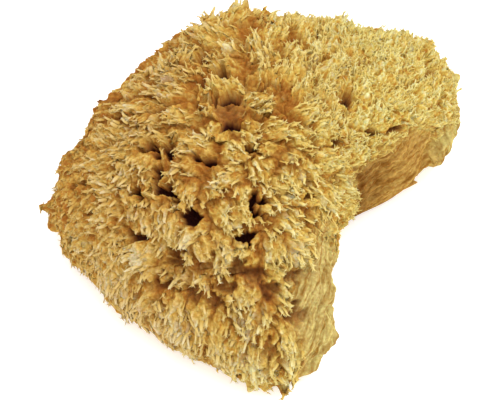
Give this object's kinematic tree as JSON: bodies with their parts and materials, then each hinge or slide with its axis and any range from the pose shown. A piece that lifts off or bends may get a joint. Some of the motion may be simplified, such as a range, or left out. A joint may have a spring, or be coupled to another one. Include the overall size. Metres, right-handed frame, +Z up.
{
  "type": "natural sponge",
  "caption": "Dry natural sponge: a golden-tan kidney-shaped dome of tufted fibre with open pits, a bay in its side and a flat cut base, for washing and wiping.",
  "frame": {"origin": "on the flat cut face, under the middle of the sponge's box", "axes": "+Z up, away from the cut face; +X towards the wing and the bay on the right; -Y towards the front lobe"},
  "size_m": [0.1592, 0.1596, 0.0566],
  "materials": {
    "sponge_fibre": "dry, matt, frayed sponge fibre: pale yellow at the tips of the tufts and brown in the pits"
  },
  "bodies": {
    "root": {"sponge": "sponge_fibre"}
  },
  "joints": []
}
